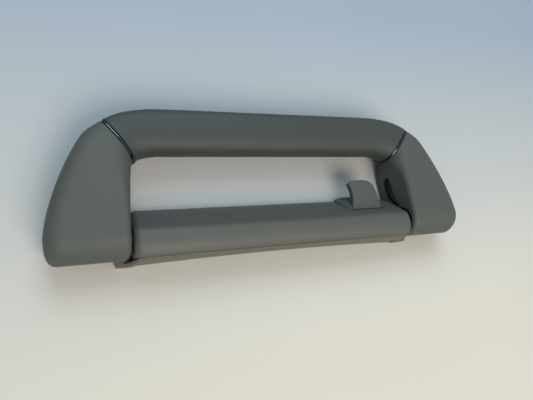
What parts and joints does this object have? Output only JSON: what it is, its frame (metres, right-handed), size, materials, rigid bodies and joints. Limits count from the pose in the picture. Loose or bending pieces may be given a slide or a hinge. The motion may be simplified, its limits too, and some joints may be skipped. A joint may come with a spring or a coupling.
{
  "type": "roof grab handle",
  "caption": "Folding roof grab handle: a U-shaped bow with hollow leg covers and bright trim rings, hinged on a fixed bar with a fin-shaped coat hook.",
  "frame": {"origin": "on the mounting plane, midway between the two mounting holes", "axes": "+X along the handle towards the coat hook's end, +Y from the hinge bar to the grip, +Z out of the roof"},
  "size_m": [0.241, 0.0787, 0.0274],
  "materials": {
    "shell": "fine grain",
    "carrier": "fine grain",
    "core": "glass-filled, matt",
    "trim": "bright",
    "steel": "zinc plated",
    "bearing": "natural",
    "damper": "smooth",
    "rubber": "matt"
  },
  "bodies": {
    "base": {"base_carrier": "carrier", "bar_cover": "shell", "cover_clips": "steel", "coat_hook": "shell", "hook_screw": "steel", "mount_sleeves": "steel", "left_bush": "bearing", "right_bush": "bearing", "return_spring": "steel", "damper_body": "damper", "damper_cap": "bearing"},
    "bow": {"bow_core": "core", "grip": "shell", "left_end_cover": "shell", "right_end_cover": "shell", "left_trim_ring": "trim", "right_trim_ring": "trim", "end_cover_screws": "steel", "bump_pads": "rubber", "left_hinge_pin": "steel", "right_hinge_pin": "steel", "pin_clips": "steel", "damper_rotor": "bearing"}
  },
  "joints": [
    {"name": "bow_hinge", "type": "hinge", "parent": "base", "child": "bow", "pos_m": [0, -0.002, 0.015], "axis": [1, 0, 0], "range_deg": [0, 95], "stiffness_Nm_per_rad": 0.08, "springref_deg": -20.05, "deforming": ["return_spring"]}
  ]
}
